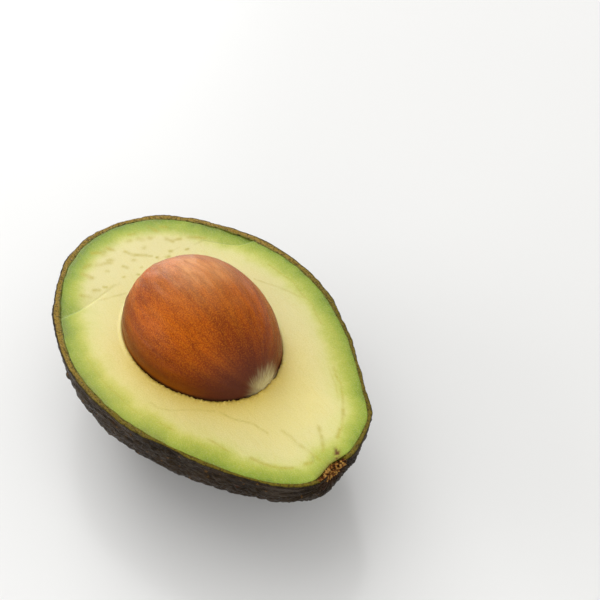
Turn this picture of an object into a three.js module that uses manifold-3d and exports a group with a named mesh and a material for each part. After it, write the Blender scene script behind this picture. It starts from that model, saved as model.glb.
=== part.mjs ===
// Half of a ripe avocado, cut lengthwise, with its pit still seated in the flesh.
//
// Millimetres, +Z up. The cut face is level and looks up, the stem end points along +X,
// and the half rests on a small flat spot at the middle of its underside.
// The origin is at the middle of the bounding box's underside, where the half rests.

import * as THREE from "three";
import { mergeVertices } from "three/addons/utils/BufferGeometryUtils.js";
import Module from "manifold-3d";

// ---- Driving dimensions ----------------------------------------------------------------

// The half fruit, over the skin. Its length is taken before the stem dimple is pressed in.
const FRUIT_LENGTH = 101.2;
const FRUIT_WIDTH = 67.8;
const FRUIT_DEPTH = 31.0;

// What turns the outline from an ellipse into a pear: the factors of 1, c, c^2, c^3 and c^4
// that widen it, where c runs from -1 at the blunt end to +1 at the stem end.
const PEAR_FACTORS = [1, -0.18, -0.28, 0.13, 0.26];

// The layers, and the air left between two pieces that touch.
const SKIN_THICKNESS = 1.3;
const CLEARANCE = 0.3;

// How much of the lowest point is flattened by the surface below.
const REST_FLAT_DEPTH = 0.5;

// The pit: an egg lying lengthwise, its narrow end towards the stem, its axis in the cut.
// It lies a little off the middle of the face, towards the blunt end and towards -Y.
const PIT_LENGTH = 45.8;
const PIT_WIDTH = 36.4;
const PIT_TAPER = 0.05;
const PIT_TOWARDS_BLUNT_END = 3.2;
const PIT_TOWARDS_MINUS_Y = 0.9;

// The stem end: a shallow dimple, and the corky stub of the stem seated in it.
const DIMPLE_DEPTH = 2.4;
const DIMPLE_RADIUS = 7.0;
const STUB_WIDTH = 8.0;
const STUB_INNER_WIDTH = 6.2;
const STUB_LENGTH = 3.8;
const STUB_PROUD = 0.5;

// Mesh fineness: facets around the long axis, and steps along an outline.
const FACETS_AROUND = 40;
const OUTLINE_STEPS = 24;

// ---- Sizes that follow from them -------------------------------------------------------

const halfLength = FRUIT_LENGTH / 2;
const halfWidth = FRUIT_WIDTH / 2;
const flattening = FRUIT_DEPTH / halfWidth;
const restHeight = FRUIT_DEPTH - REST_FLAT_DEPTH;
const stubOuterX = halfLength - DIMPLE_DEPTH + STUB_PROUD;
const stubInnerX = stubOuterX - STUB_LENGTH;

// ---- Outlines, as points of (distance from the long axis, place along it) --------------

// An angle along an outline runs from 0 at the blunt end to pi at the stem end.

// How far the stem dimple presses the outline in.
function dimpleAt(angle, radius) {
  if (angle < Math.PI / 2 || radius >= DIMPLE_RADIUS) return 0;
  return (DIMPLE_DEPTH * (1 + Math.cos((Math.PI * radius) / DIMPLE_RADIUS))) / 2;
}

// How wide the pear is at an angle, before it is brought to the fruit's width.
function pearWidth(angle) {
  const c = -Math.cos(angle);
  const widening = PEAR_FACTORS.reduce((sum, factor, power) => sum + factor * c ** power, 0);
  return Math.sin(angle) * widening;
}

const outlineSteps = Array.from({ length: OUTLINE_STEPS + 1 }, (_, step) => step);
const outlineAngles = outlineSteps.map((step) => (Math.PI * step) / OUTLINE_STEPS);
const widest = Math.max(...outlineAngles.map(pearWidth));

// The fruit's outline, drawn in from the outside of the skin by an inset.
function fruitOutline(inset) {
  return outlineAngles.map((angle) => {
    const radius = ((halfWidth - inset) * pearWidth(angle)) / widest;
    const along = -(halfLength - inset) * Math.cos(angle) - dimpleAt(angle, radius);
    return new THREE.Vector2(radius, along);
  });
}

function pitOutline(grow) {
  return outlineAngles.map((angle) => {
    const radius = (PIT_WIDTH / 2 + grow) * Math.sin(angle) * (1 + PIT_TAPER * Math.cos(angle));
    return new THREE.Vector2(radius, -(PIT_LENGTH / 2 + grow) * Math.cos(angle));
  });
}

function stubOutline(grow, outerX) {
  return [
    new THREE.Vector2(0, stubInnerX - grow),
    new THREE.Vector2(STUB_INNER_WIDTH / 2 + grow, stubInnerX - grow),
    new THREE.Vector2(STUB_WIDTH / 2 + grow, stubOuterX),
    new THREE.Vector2(STUB_WIDTH / 2 + grow, outerX),
    new THREE.Vector2(0, outerX),
  ];
}

// ---- Solids ----------------------------------------------------------------------------

const wasm = await Module();
wasm.setup();

function solidFrom(geometry) {
  geometry.deleteAttribute("normal");
  geometry.deleteAttribute("uv");
  const merged = mergeVertices(geometry);
  const corners = merged.index.array;
  const triVerts = [];
  for (let i = 0; i < corners.length; i += 3) {
    const [a, b, c] = corners.slice(i, i + 3);
    if (a !== b && b !== c && c !== a) triVerts.push(a, b, c);
  }
  return new wasm.Manifold(new wasm.Mesh({
    numProp: 3,
    vertProperties: new Float32Array(merged.attributes.position.array),
    triVerts: new Uint32Array(triVerts),
  }));
}

function geometryFrom(solid) {
  const mesh = solid.getMesh();
  const geometry = new THREE.BufferGeometry();
  geometry.setAttribute("position", new THREE.BufferAttribute(mesh.vertProperties, 3));
  geometry.setIndex(new THREE.BufferAttribute(mesh.triVerts, 1));
  return geometry;
}

// Turns an outline about the long axis, which lies along X.
function turned(outline, facets = FACETS_AROUND) {
  return new THREE.LatheGeometry(outline, facets).rotateZ(-Math.PI / 2);
}

function fruitSolid(inset) {
  return solidFrom(turned(fruitOutline(inset)).scale(1, 1, flattening));
}

function pitSolid(grow) {
  const egg = turned(pitOutline(grow));
  return solidFrom(egg.translate(-PIT_TOWARDS_BLUNT_END, -PIT_TOWARDS_MINUS_Y, 0));
}

function stubSolid(grow, outerX) {
  return solidFrom(turned(stubOutline(grow, outerX), FACETS_AROUND / 2));
}

// A block that holds everything between the rest surface and the cut face.
function halfBlock() {
  const side = 2 * FRUIT_LENGTH + 2 * FRUIT_WIDTH;
  return solidFrom(new THREE.BoxGeometry(side, side, restHeight).translate(0, 0, -restHeight / 2));
}

const block = halfBlock();
const stubRecess = stubSolid(CLEARANCE, halfLength + CLEARANCE);

const skin = fruitSolid(0).intersect(block)
  .subtract(fruitSolid(SKIN_THICKNESS))
  .subtract(stubRecess);
const flesh = fruitSolid(SKIN_THICKNESS + CLEARANCE).intersect(block)
  .subtract(pitSolid(CLEARANCE))
  .subtract(stubRecess);
const pit = pitSolid(0);
const stemStub = stubSolid(0, stubOuterX).intersect(block);

// ---- The named pieces ------------------------------------------------------------------

const avocado = new THREE.Group();
const half = new THREE.Group();
avocado.add(half);

function addPiece(name, solid, color, roughness) {
  const material = new THREE.MeshStandardMaterial({ color, roughness, metalness: 0 });
  const piece = new THREE.Mesh(geometryFrom(solid), material);
  piece.name = name;
  half.add(piece);
}

addPiece("skin", skin, 0x2b2621, 0.55);
addPiece("flesh", flesh, 0xdcd78c, 0.45);
addPiece("pit", pit, 0x9a4f22, 0.5);
addPiece("stem_stub", stemStub, 0x7a4a26, 0.85);

// Stand the half on its flat spot, with the bounding box centred on the origin.
const bounds = new THREE.Box3().setFromObject(half);
const middle = bounds.getCenter(new THREE.Vector3());
half.position.set(-middle.x, -middle.y, restHeight);

export default avocado;
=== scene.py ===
"""Half of a ripe avocado with its pit, on a pale glossy table.

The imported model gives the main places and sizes. Each piece is modelled here as one closed mesh
through a stack of rings, in millimetres, and its material is made of nodes that read a few
numbers kept on the mesh. +X is the stem end, and the cut face is level and looks up.
"""

import math

import bpy
import numpy as np
from bpy.props import FloatProperty, FloatVectorProperty, IntProperty, PointerProperty
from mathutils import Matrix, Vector, noise


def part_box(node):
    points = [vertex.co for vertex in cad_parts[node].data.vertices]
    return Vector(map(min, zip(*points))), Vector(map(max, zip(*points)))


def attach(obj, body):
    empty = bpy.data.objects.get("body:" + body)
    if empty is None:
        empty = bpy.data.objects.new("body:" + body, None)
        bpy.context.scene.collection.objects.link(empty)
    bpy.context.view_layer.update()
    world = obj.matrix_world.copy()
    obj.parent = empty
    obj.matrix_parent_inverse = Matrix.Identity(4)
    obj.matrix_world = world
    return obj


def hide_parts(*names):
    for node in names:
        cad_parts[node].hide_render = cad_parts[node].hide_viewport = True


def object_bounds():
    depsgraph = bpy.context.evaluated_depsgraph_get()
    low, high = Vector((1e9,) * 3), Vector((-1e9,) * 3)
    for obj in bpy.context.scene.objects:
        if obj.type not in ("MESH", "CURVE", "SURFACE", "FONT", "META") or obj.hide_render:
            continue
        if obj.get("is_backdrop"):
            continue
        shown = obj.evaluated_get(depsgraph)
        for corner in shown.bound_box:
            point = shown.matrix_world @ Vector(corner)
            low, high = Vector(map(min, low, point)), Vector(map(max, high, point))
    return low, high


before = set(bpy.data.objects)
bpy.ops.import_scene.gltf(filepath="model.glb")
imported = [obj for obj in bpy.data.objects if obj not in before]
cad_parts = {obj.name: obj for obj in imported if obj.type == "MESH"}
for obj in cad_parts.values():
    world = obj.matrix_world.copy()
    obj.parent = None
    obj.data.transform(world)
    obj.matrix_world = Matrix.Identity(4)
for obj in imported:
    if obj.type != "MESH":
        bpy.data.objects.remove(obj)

bl_info = {
    "name": "Avocado Half",
    "version": (1, 0, 0),
    "blender": (4, 5, 0),
    "location": "3D View > Sidebar > Avocado",
    "description": "Builds a cut avocado half with its pit, piece by piece",
    "category": "Add Mesh",
}

MM = 0.001
CAD_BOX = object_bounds()


def box_mm(node):
    """The lowest and highest corner of a CAD node, in millimetres."""
    low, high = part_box(node)
    return np.array(low) / MM, np.array(high) / MM


SKIN_LOW, SKIN_HIGH = box_mm("skin")
PIT_LOW, PIT_HIGH = box_mm("pit")
STUB_LOW, STUB_HIGH = box_mm("stem_stub")

# The pear-shaped outline, before the stem dimple is pressed into it.
CUT_Z = SKIN_HIGH[2]
REST_FLAT_DEPTH = 0.5
DIMPLE_DEPTH = 1.7
DIMPLE_RADIUS = 7.0
DIMPLE_SHORTENS = 1.36
HALF_LENGTH = (SKIN_HIGH[0] - SKIN_LOW[0] + DIMPLE_SHORTENS) / 2
HALF_WIDTH = (SKIN_HIGH[1] - SKIN_LOW[1]) / 2
MIDDLE_X = SKIN_LOW[0] + HALF_LENGTH
BELLY_X = MIDDLE_X - 0.11 * HALF_LENGTH
FLATTENING = (CUT_Z + REST_FLAT_DEPTH) / HALF_WIDTH
PEAR_FACTORS = (1, -0.18, -0.28, 0.13, 0.26)
PEAR_WIDEST = 1.0101

# The stem end is a little askew: it leans back towards +Y, where its shoulder is wider.
LEAN = 0.2
SHOULDER_X = 43
SHOULDER_WIDER = 0.9

# The pit lies a little off its CAD node's middle and is slimmer. Its gap to the flesh is
# widest in the direction turned back by TIP_TURN from the stem end.
PIT_MIDDLE = (PIT_LOW + PIT_HIGH) / 2 + np.array([-0.5, 0.3, 0])
PIT_HALF = (PIT_HIGH - PIT_LOW) / 2 - np.array([0.2, 0.2, 0])
PIT_TAPER = 0.05
TIP_TURN = math.radians(25)
STUB_HALF_WIDTH = (STUB_HIGH[1] - STUB_LOW[1]) / 2

POINTS_AROUND = 640


# ---- Numbers and shapes, all in millimetres ----


def soft_step(low, high, value):
    """0 below low, 1 above high, and a soft climb between them."""
    share = np.clip((value - low) / (high - low), 0, 1)
    return share * share * (3 - 2 * share)


def lumps(points, size, octaves=3, seed=0.0):
    """Soft lumps from about -1 to 1. size is a lump's length, or its length on each axis."""
    places = points.reshape(-1, 3) / np.array(size, float) + seed
    values = [noise.fractal(place, 1.0, 2.1, octaves) for place in places.tolist()]
    return np.array(values).reshape(points.shape[:-1])


def cells(points, size, seed=0.0):
    """Pebbles from 0 on a net of creases to 1 in the middle of each cell."""
    places = points.reshape(-1, 3) / np.array(size, float) + seed
    gaps = []
    for place in places.tolist():
        nearest, second = noise.voronoi(place)[0][:2]
        gaps.append(second - nearest)
    return np.clip(np.array(gaps) * 2.2, 0, 1).reshape(points.shape[:-1])


def pear_radius(x, inset=0.0):
    """The fruit's radius at x, drawn in from the outside of the skin by an inset."""
    along = np.clip((x - MIDDLE_X) / (HALF_LENGTH - inset), -1, 1)
    widening = sum(factor * along ** power for power, factor in enumerate(PEAR_FACTORS))
    return (HALF_WIDTH - inset) * np.sqrt(1 - along * along) * widening / PEAR_WIDEST


def pear_outline(angles, inset=0.0):
    """The outline seen from above, anticlockwise from the stem end."""
    x = MIDDLE_X + (HALF_LENGTH - inset) * np.cos(angles)
    return np.stack([x, pear_radius(x, inset) * np.sign(np.sin(angles))], -1)


def even_angles(count):
    """Angles that space the outline's points evenly, and how far round each one lies."""
    angles = np.linspace(0, 2 * np.pi, 20 * count + 1)
    steps = np.linalg.norm(np.diff(pear_outline(angles), axis=0), axis=1)
    travelled = np.concatenate([[0], np.cumsum(steps)])
    places = np.linspace(0, travelled[-1], count, endpoint=False)
    return np.interp(places, travelled, angles), places


ANGLES, ROUND = even_angles(POINTS_AROUND)
ROUND_TURN = 2 * np.pi * np.arange(POINTS_AROUND) / POINTS_AROUND
ROUND_RADIUS = ROUND[-1] / (2 * np.pi)
ROUND_ACROSS = ROUND_RADIUS * np.cos(ROUND_TURN)
ROUND_UP = ROUND_RADIUS * np.sin(ROUND_TURN)


def bowl_ring(share, inset):
    """One ring of the rounded underside, from the cut at share 1 to the lowest at share 0."""
    middle = np.array([BELLY_X, 0.0])
    plan = middle + (pear_outline(ANGLES, inset) - middle) * share
    across = pear_radius(plan[:, 0], inset) ** 2 - plan[:, 1] ** 2
    return np.column_stack([plan, CUT_Z - FLATTENING * np.sqrt(np.maximum(across, 0))])


def around_place(first):
    """A number at each point of a stack of rings, and two that say how far round it lies."""
    return np.stack([first, ROUND_ACROSS + 0 * first, ROUND_UP + 0 * first], -1)


def bowl_shares(count):
    """Shares for bowl_ring that space its rings evenly down the side."""
    return np.cos(np.linspace(0, np.pi / 2, count + 1)[:-1])


def from_axis(points):
    """Distance from the long axis, with the flattening taken out."""
    return np.hypot(points[..., 1], (points[..., 2] - CUT_Z) / FLATTENING)


def on_stem_side(points):
    """0 on the blunt half and 1 well towards the stem end."""
    return soft_step(MIDDLE_X, MIDDLE_X + HALF_LENGTH / 2, points[..., 0])


def levelled(plan):
    """Plan points as points at height 0."""
    return np.concatenate([plan, np.zeros(plan.shape[:-1] + (1,))], -1)


def press_dimple(points):
    """Presses the stem's shallow dimple into the stem end, which is also a little askew."""
    x, y = points[..., 0], points[..., 1]
    share = np.minimum(from_axis(points) / DIMPLE_RADIUS, 1)
    by_shoulder = np.exp(-((x - SHOULDER_X) / 5) ** 2)
    pressed = points.copy()
    pressed[..., 0] -= DIMPLE_DEPTH * (1 + np.cos(np.pi * share)) / 2 * on_stem_side(points)
    pressed[..., 0] -= LEAN * np.clip(y + 3, 0, 8) * soft_step(38, 48, x)
    pressed[..., 1] += SHOULDER_WIDER * by_shoulder * soft_step(5, 14, y)
    return pressed


def ring_normals(rings):
    """Unit normals of a stack of rings that run down the outside of a bowl."""
    down = np.gradient(rings, axis=0)
    around = np.roll(rings, -1, axis=1) - np.roll(rings, 1, axis=1)
    normals = np.cross(down, around)
    return normals / np.maximum(np.linalg.norm(normals, axis=-1, keepdims=True), 1e-9)


def facing_tip(turn):
    """1 in the directions from the pit where its gap is widest, and 0 well away from them."""
    return soft_step(-0.1, 0.7, np.cos(turn + TIP_TURN))


def near_strokes(plan, strokes):
    """How strongly each plan point is marked by strokes of (strength, half width, points)."""
    marked = np.zeros(plan.shape[:-1])
    for strength, half_width, points in strokes:
        for start, end in zip(points[:-1], points[1:]):
            start = np.array(start, float)
            run = np.array(end, float) - start
            share = np.clip((plan - start) @ run / (run @ run), 0, 1)
            away = np.linalg.norm(plan - start - share[..., None] * run, axis=-1)
            marked = np.maximum(marked, strength * np.exp(-(away / half_width) ** 2))
    return marked


def add_object(name, data):
    """A new object in the scene."""
    holder = bpy.data.objects.new(name, data)
    bpy.context.scene.collection.objects.link(holder)
    return holder


def ring_mesh(name, rings, values):
    """A closed mesh object through a stack of rings, each end closed on a point.

    values holds what the material reads at each point: numbers, or triples of numbers."""
    count = rings.shape[1]

    def with_ends(stack):
        flat = stack.reshape((-1,) + stack.shape[2:])
        return np.concatenate([stack[:1].mean(1), flat, stack[-1:].mean(1)])

    points = with_ends(rings)
    here = np.arange(count)
    after = np.roll(here, -1)
    quads = []
    for low in 1 + count * np.arange(len(rings) - 1):
        quads.append(np.stack([low + here, low + after, low + count + after, low + count + here], 1))
    quads = np.concatenate(quads)
    top = 1 + (len(rings) - 1) * count
    caps = np.concatenate([
        np.stack([0 * here, 1 + after, 1 + here], 1),
        np.stack([top + here, top + after, 0 * here + len(points) - 1], 1),
    ])
    corners = points[quads]
    volume = np.einsum("ij,ij->", corners[:, 0], np.cross(corners[:, 1], corners[:, 2]))
    volume += np.einsum("ij,ij->", corners[:, 0], np.cross(corners[:, 2], corners[:, 3]))
    if volume < 0:
        quads = quads[:, ::-1]
        caps = caps[:, ::-1]
    mesh = bpy.data.meshes.new(name)
    mesh.from_pydata((points * MM).tolist(), [], quads.tolist() + caps.tolist())
    mesh.polygons.foreach_set("use_smooth", [True] * len(mesh.polygons))
    for key, value in values.items():
        spread = with_ends(value)
        kind, part = ("FLOAT_VECTOR", "vector") if spread.ndim == 2 else ("FLOAT", "value")
        attribute = mesh.attributes.new(key, kind, "POINT")
        attribute.data.foreach_set(part, spread.astype(np.float32).ravel())
    mesh.update()
    return add_object(name, mesh)


def place(piece, node, slot, material):
    """Puts a finished piece in for its CAD node."""
    piece.data.materials.append(material)
    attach(piece, "root")
    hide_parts(node)


# ---- Material helpers ----


class Nodes:
    """Adds nodes to a tree. An input is another node's output or a plain value."""

    def __init__(self, tree):
        self.tree = tree

    def add(self, kind, inputs=None, **settings):
        node = self.tree.nodes.new("ShaderNode" + kind)
        for key, value in settings.items():
            setattr(node, key, value)
        for key, value in (inputs or {}).items():
            self.feed(node.inputs[key], value)
        return node

    def feed(self, socket, value):
        if isinstance(value, bpy.types.NodeSocket):
            self.tree.links.new(value, socket)
        elif socket.type == "RGBA" and len(value) == 3:
            socket.default_value = (*value, 1)
        else:
            socket.default_value = value

    def math(self, operation, first, second, clamp=False):
        inputs = {0: first, 1: second}
        return self.add("Math", inputs, operation=operation, use_clamp=clamp).outputs[0]

    def times(self, first, second, clamp=False):
        return self.math("MULTIPLY", first, second, clamp)

    def plus(self, first, second):
        return self.math("ADD", first, second)

    def vector(self, operation, first, second):
        return self.add("VectorMath", {0: first, 1: second}, operation=operation).outputs[0]

    def shrunk(self, place, size):
        """A place counted in lengths of a size."""
        scaled = self.add("VectorMath", {0: place}, operation="SCALE")
        self.feed(scaled.inputs["Scale"], self.math("DIVIDE", 1.0, size))
        return scaled.outputs[0]

    def remap(self, value, low, high, out_low=0.0, out_high=1.0):
        """Brings low..high to out_low..out_high, softly and clamped."""
        inputs = {"Value": value, "From Min": low, "From Max": high}
        inputs.update({"To Min": out_low, "To Max": out_high})
        return self.add("MapRange", inputs, interpolation_type="SMOOTHSTEP").outputs[0]

    def mix(self, share, first, second):
        """A colour part of the way from the first to the second."""
        return self.add("Mix", {0: share, 6: first, 7: second}, data_type="RGBA").outputs[2]

    def between(self, share, first, second):
        """A number part of the way from the first to the second."""
        return self.add("Mix", {0: share, 2: first, 3: second}).outputs[0]

    def paint(self, base, coats):
        """A base colour under coats of (share, colour), each laid over the ones before."""
        for share, color in coats:
            base = self.mix(share, base, color)
        return base

    def ramp(self, value, stops):
        """A colour ramp through (place, colour) stops."""
        node = self.add("ValToRGB", {"Fac": value})
        elements = node.color_ramp.elements
        elements.remove(elements[1])
        elements[0].position = stops[0][0]
        elements[0].color = (*stops[0][1], 1)
        for at, color in stops[1:]:
            elements.new(at).color = (*color, 1)
        return node.outputs[0]

    def noise_at(self, place, scale, detail, roughness=0.5, wander=0.0, output="Fac"):
        inputs = {"Vector": place, "Scale": scale, "Detail": detail}
        inputs.update({"Roughness": roughness, "Distortion": wander})
        return self.add("TexNoise", inputs).outputs[output]

    def kept(self, name, part="Fac"):
        """A number or triple kept on the mesh."""
        return self.add("Attribute", attribute_name=name).outputs[part]

    def split(self, triple):
        """The three numbers of a triple."""
        return self.add("SeparateXYZ", {0: triple}).outputs

    def place_mm(self):
        """The place on the object, in millimetres."""
        return self.vector("MULTIPLY", self.add("TexCoord").outputs["Object"], (1 / MM,) * 3)

    def group(self, tree, inputs, output):
        node = self.add("Group", node_tree=tree)
        for key, value in inputs.items():
            self.feed(node.inputs[key], value)
        return node.outputs[output]

    def mottle(self, place, size, output="Patches"):
        return self.group(mottle_group(), {"Place": place, "Size": size}, output)

    def streaks(self, place, length, width, wander=0.6, output="Streaks"):
        inputs = {"Place": place, "Length": length, "Width": width, "Wander": wander}
        return self.group(streak_group(), inputs, output)

    def specks(self, place, spacing, size, share):
        inputs = {"Place": place, "Spacing": spacing, "Size": size, "Share": share}
        return self.group(speck_group(), inputs, "Specks")


def shared_group(name, inputs, outputs, fill):
    """A node group, built by fill the first time that it is asked for.

    inputs holds the default of each number, or None for a place."""
    if name not in bpy.data.node_groups:
        tree = bpy.data.node_groups.new(name, "ShaderNodeTree")
        for label, default in inputs.items():
            kind = "NodeSocketVector" if default is None else "NodeSocketFloat"
            socket = tree.interface.new_socket(label, in_out="INPUT", socket_type=kind)
            if default is not None:
                socket.default_value = default
        for label in outputs:
            tree.interface.new_socket(label, in_out="OUTPUT", socket_type="NodeSocketFloat")
        given = tree.nodes.new("NodeGroupInput").outputs
        result = tree.nodes.new("NodeGroupOutput").inputs
        fill(Nodes(tree), given, result)
    return bpy.data.node_groups[name]


def fill_mottle(nodes, given, result):
    """Cloudy patches: Patches are broad with soft edges, Fine are small and grainy."""
    place = nodes.shrunk(given["Place"], given["Size"])
    broad = nodes.noise_at(place, 1.0, 4.0, 0.6)
    fine = nodes.noise_at(place, 7.0, 3.0, 0.7)
    nodes.feed(result["Patches"], nodes.remap(broad, 0.32, 0.68))
    nodes.feed(result["Fine"], nodes.remap(fine, 0.3, 0.7))


def mottle_group():
    return shared_group("Mottle", {"Place": None, "Size": 5.0}, ("Patches", "Fine"), fill_mottle)


def fill_streaks(nodes, given, result):
    """Fibres and wrinkles: a grain drawn out to a length along one axis and fine across it."""
    across = nodes.math("DIVIDE", 1.0, given["Width"])
    along = nodes.math("DIVIDE", 1.0, given["Length"])
    sizes = nodes.add("CombineXYZ", {0: along, 1: across, 2: across}).outputs[0]
    drawn = nodes.vector("MULTIPLY", given["Place"], sizes)
    grain = nodes.noise_at(drawn, 1.0, 3.0, 0.55, given["Wander"])
    nodes.feed(result["Streaks"], nodes.remap(grain, 0.3, 0.7))
    off_middle = nodes.add("Math", {0: nodes.math("SUBTRACT", grain, 0.5)}, operation="ABSOLUTE")
    nodes.feed(result["Lines"], nodes.remap(off_middle.outputs[0], 0.0, 0.035, 1.0, 0.0))


def streak_group():
    inputs = {"Place": None, "Length": 6.0, "Width": 1.0, "Wander": 0.6}
    return shared_group("Streaks", inputs, ("Streaks", "Lines"), fill_streaks)


def fill_specks(nodes, given, result):
    """Scattered specks: 1 in each speck and 0 between them, and not every cell has one."""
    wander = nodes.noise_at(given["Place"], 1.6, 2.0, output="Color")
    nudge = nodes.vector("SUBTRACT", wander, (0.5, 0.5, 0.5))
    place = nodes.shrunk(nodes.vector("ADD", given["Place"], nudge), given["Spacing"])
    dots = nodes.add("TexVoronoi", {"Vector": place, "Scale": 1.0})
    chance = nodes.add("SeparateColor", {0: dots.outputs["Color"]}).outputs
    radius = nodes.times(given["Size"], nodes.plus(chance[1], 0.4))
    inside = nodes.remap(nodes.math("DIVIDE", dots.outputs["Distance"], radius), 0.6, 1.1, 1.0, 0.0)
    present = nodes.math("LESS_THAN", chance[0], given["Share"])
    nodes.feed(result["Specks"], nodes.times(inside, present))


def speck_group():
    inputs = {"Place": None, "Spacing": 3.0, "Size": 0.25, "Share": 0.5}
    return shared_group("Specks", inputs, ("Specks",), fill_specks)


class Material(Nodes):
    """A new material's nodes, which end in its Principled shader."""

    def __init__(self, name):
        self.material = bpy.data.materials.new(name)
        self.material.use_nodes = True
        super().__init__(self.material.node_tree)
        self.shader = next(node for node in self.tree.nodes if node.type == "BSDF_PRINCIPLED")

    def finished(self, color, roughness, constants, height=None, depth_mm=0.0, strength=1.0):
        """The material, once its colour, roughness and bump reach the shader."""
        self.feed(self.shader.inputs["Base Color"], color)
        self.feed(self.shader.inputs["Roughness"], roughness)
        if height is not None:
            inputs = {"Height": height, "Distance": depth_mm * MM, "Strength": strength}
            self.feed(self.shader.inputs["Normal"], self.add("Bump", inputs).outputs[0])
        for key, value in constants.items():
            self.shader.inputs[key].default_value = value
        return self.material


# ---- Skin ----

# The size of what stands out on the outside along X, Y and Z, and how closely the ribs
# stand round the stem.
PEBBLE_SIZE = (4.4, 2.0, 2.0)
WRINKLE_SIZE = (5.5, 1.3, 1.3)
SWELL_SIZE = (10, 8, 8)
SPOKES_ROUND = 11

# The rings down the outside and the inside, those of the cut edge as shares of its width
# from the outside in, and how far its outer corner is rounded down.
OUTER_RINGS = 118
INNER_RINGS = 14
RIM_SHARES = np.array([0.04, 0.12, 0.25, 0.42, 0.6, 0.76, 0.88, 0.95])
OUTER_EDGE_DROP = 0.22

# Colours of the outside.
# Painted glints: the skin at the blunt end is made lighter grey, as where light catches it.
BLUNT_GLINTS = (0.13, 0.104, 0.078)
# A painted highlight on the tops of the ribs round the stem.
RIB_TOP_HIGHLIGHT = (0.15, 0.122, 0.095)
# Painted shade in the bottoms of the folds.
FOLD_SHADE = (0.007, 0.004, 0.003)
OLIVE_FLECKS = (0.105, 0.068, 0.018)
RUST = (0.1, 0.032, 0.012)

# Colours across the cut edge, from the outside in, and the marks on it.
EDGE_DARK = (0.018, 0.011, 0.006)
EDGE_BROWN = (0.06, 0.034, 0.01)
EDGE_YELLOW = (0.34, 0.32, 0.04)
EDGE_GREEN = (0.27, 0.31, 0.03)
EDGE_FLECKS = (0.075, 0.04, 0.006)
OUTER_LINE = (0.02, 0.012, 0.007)
# Dark specks on the inner side of the cut edge, partly painted shade of small gaps against the flesh.
INNER_SPECKS_AND_GAP_SHADE = (0.018, 0.013, 0.004)


def skin_thickness(look):
    """The skin's thickness at each point round the cut."""
    edge = pear_outline(ANGLES)
    towards_stem = soft_step(-5, 25, edge[:, 0])
    side = np.where(edge[:, 1] < 0, look.near_thickness, look.far_thickness) / MM
    thickness = look.blunt_thickness / MM * (1 - towards_stem) + side * towards_stem
    wobble = lumps(np.column_stack([edge, 0 * ROUND]), 3.5, seed=3.1)
    return thickness * (1 + 0.14 * wobble)


def skin_relief(points, look):
    """How far the skin stands out or in at each point, and how near the stem it is.

    It has pebbles, wrinkles and broad swells, and ribs like spokes round the stem."""
    pebbles = cells(points + 0.7 * lumps(points, 2.5, seed=8.0)[..., None], PEBBLE_SIZE)
    wrinkles = lumps(points, WRINKLE_SIZE, seed=5.0)
    swells = lumps(points, SWELL_SIZE, octaves=2, seed=1.7)
    relief = look.pebble_height / MM * (pebbles - 0.6) + look.wrinkle_height / MM * wrinkles
    relief *= 0.4 + 0.6 * soft_step(0, 3.5, CUT_Z - points[..., 2])
    relief += look.swell_height / MM * swells
    turn = np.arctan2(CUT_Z - points[..., 2], points[..., 1])
    radius = from_axis(points)
    spoke_place = np.stack([turn * SPOKES_ROUND, radius / 12, 0 * turn], -1)
    spokes = lumps(spoke_place, 1.0, octaves=1, seed=4.4)
    near_stem = soft_step(20, 9, radius) * on_stem_side(points)
    return relief * (1 - 0.5 * near_stem) + near_stem * 0.7 * spokes, near_stem


def build_skin(look):
    """The skin as a shell: up its inside, over its cut edge and down its pebbled outside."""
    thickness = skin_thickness(look)
    smooth = press_dimple(np.array([bowl_ring(share, 0.0) for share in bowl_shares(OUTER_RINGS)]))
    relief, near_stem = skin_relief(smooth, look)
    outer = smooth + relief[..., None] * ring_normals(smooth)
    outer[0, :, 2] = CUT_Z - OUTER_EDGE_DROP
    outer[..., 2] = np.maximum(outer[..., 2], 0)
    inner = [bowl_ring(share, thickness) for share in bowl_shares(INNER_RINGS)]
    inner = press_dimple(np.array(inner))
    rim = outer[0] + (inner[0] - outer[0]) * RIM_SHARES[:, None, None]
    rounding = -0.2 * (1 - soft_step(0, 0.2, RIM_SHARES)) - 0.03 * soft_step(0.8, 1, RIM_SHARES)
    rim[..., 2] = CUT_Z + rounding[:, None] + 0.1 * lumps(rim, 1.1, seed=9.0)
    inner[0, :, 2] = CUT_Z - 0.1
    under_stub = soft_step(STUB_HALF_WIDTH + 1.2, STUB_HALF_WIDTH - 0.4, np.abs(rim[..., 1]))
    rim[..., 2] -= 0.9 * under_stub * (rim[..., 0] > 0)
    rings = np.concatenate([inner[::-1], rim[::-1], outer])
    level = np.concatenate([np.ones(len(inner)), RIM_SHARES[::-1], np.zeros(len(outer))])
    on_cut = np.concatenate([np.ones(len(inner) + len(rim)), np.zeros(len(outer))])
    blank = np.zeros((len(inner) + len(rim), POINTS_AROUND))
    turn = np.arctan2(CUT_Z - rings[..., 2], rings[..., 1])
    by_stem = np.concatenate([blank, near_stem])
    values = {
        "rim_place": around_place(level[:, None] + blank[:1]),
        "on_cut": on_cut[:, None] + blank[:1],
        "relief": np.concatenate([blank, relief]),
        "stem_place": np.stack([turn * 9, from_axis(rings), by_stem], -1),
    }
    return ring_mesh("skin_shell", rings, values)


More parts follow.
